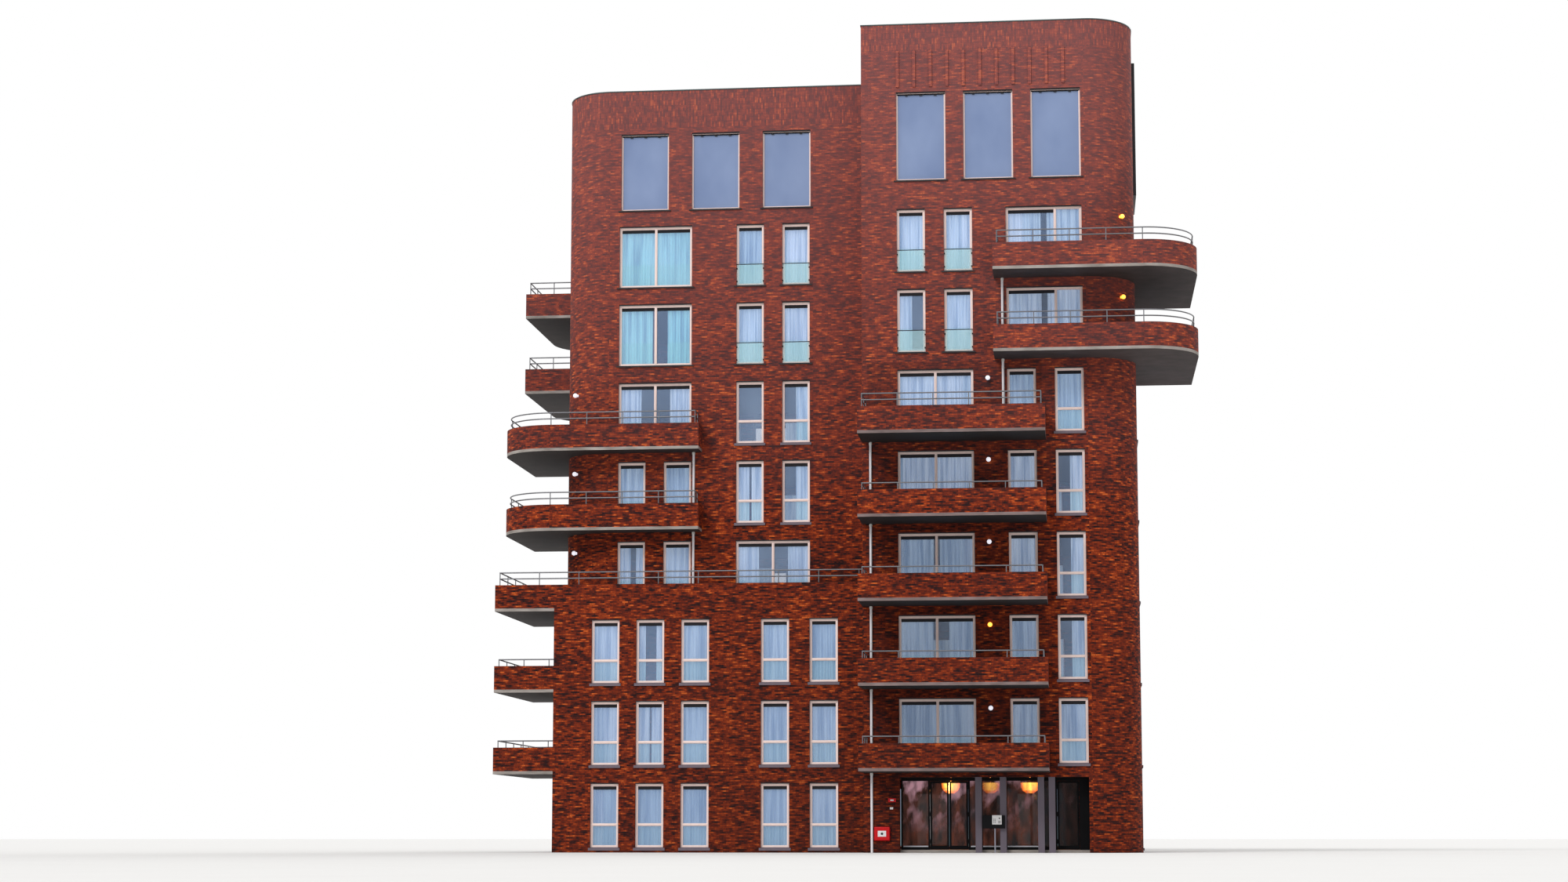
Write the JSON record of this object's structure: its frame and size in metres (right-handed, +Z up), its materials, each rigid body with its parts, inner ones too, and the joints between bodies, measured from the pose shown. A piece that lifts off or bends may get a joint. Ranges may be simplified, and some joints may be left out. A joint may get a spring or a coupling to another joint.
{
  "type": "apartment block",
  "caption": "Tall brick apartment block: a tower beside a set-back wing on a low base, with round corners, wrap-round balconies with rails, and a glazed entrance with hinged doors.",
  "frame": {"origin": "centre of the bounding box on the ground under the block", "axes": "+Z up, the entrance front faces -Y, +X to the right seen from the front"},
  "size_m": [25.96, 16.05, 30.54],
  "materials": {
    "brick": "fired clay brick in mixed red, brown and purple, with flush joints",
    "floor_concrete": "cast concrete",
    "balcony_concrete": "pale precast concrete",
    "roof_finish": "dark roof gravel",
    "roof_trim_metal": "matt grey-green trim",
    "rail_steel": "galvanised",
    "pipe_plastic": "matt",
    "lamp_globe": "opal",
    "post_steel": "satin",
    "entrance_metal": "satin",
    "entrance_pane": "clear",
    "window_frame": "pale beige, satin",
    "window_pane": "clear with a cool tint",
    "window_sill": "honed dark stone",
    "vent_metal": "dark anodised",
    "curtain_cloth": "light woven curtain",
    "notice_paint": "gloss red",
    "call_board": "satin"
  },
  "bodies": {
    "building": {"tower_piers": "brick", "tower_spandrels": "brick", "wing_piers": "brick", "wing_spandrels": "brick", "base_piers": "brick", "base_spandrels": "brick", "rear_piers": "brick", "rear_spandrels": "brick", "round_corners": "brick", "base_corner": "brick", "tower_left_wall": "brick", "front_balcony_parapets": "brick", "right_balcony_parapets": "brick", "left_balcony_parapets": "brick", "side_balcony_parapets": "brick", "rear_balcony_parapets": "brick", "brick_ribs": "brick", "tower_floors": "floor_concrete", "wing_floors": "floor_concrete", "front_balcony_slabs": "balcony_concrete", "right_balcony_slabs": "balcony_concrete", "left_balcony_slabs": "balcony_concrete", "side_balcony_slabs": "balcony_concrete", "rear_balcony_slabs": "balcony_concrete", "tower_roof": "roof_finish", "wing_roof": "roof_finish", "roof_trim": "roof_trim_metal", "front_balcony_rails": "rail_steel", "right_balcony_rails": "rail_steel", "left_balcony_rails": "rail_steel", "side_balcony_rails": "rail_steel", "rear_balcony_rails": "rail_steel", "downpipes": "pipe_plastic", "wall_lamps": "lamp_globe", "ceiling_lamps": "lamp_globe", "entrance_posts": "post_steel", "entrance_frame": "entrance_metal", "entrance_glass": "entrance_pane", "intercom_stand": "call_board"},
    "left_leaf": {"left_leaf": "entrance_metal", "left_leaf_glass": "entrance_pane"},
    "right_leaf": {"right_leaf": "entrance_metal", "right_leaf_glass": "entrance_pane"},
    "side_door": {"side_door": "entrance_metal", "side_door_glass": "entrance_pane"}
  },
  "joints": [
    {"name": "left_leaf_hinge", "type": "hinge", "parent": "building", "child": "left_leaf", "pos_m": [3.094, -4.681, 1.3], "axis": [0, 0, 1], "range_deg": [0, 90]},
    {"name": "right_leaf_hinge", "type": "hinge", "parent": "building", "child": "right_leaf", "pos_m": [4.476, -4.681, 1.3], "axis": [0, 0, -1], "range_deg": [0, 90]},
    {"name": "side_door_hinge", "type": "hinge", "parent": "building", "child": "side_door", "pos_m": [7.674, -4.681, 1.3], "axis": [0, 0, 1], "range_deg": [0, 90]}
  ]
}
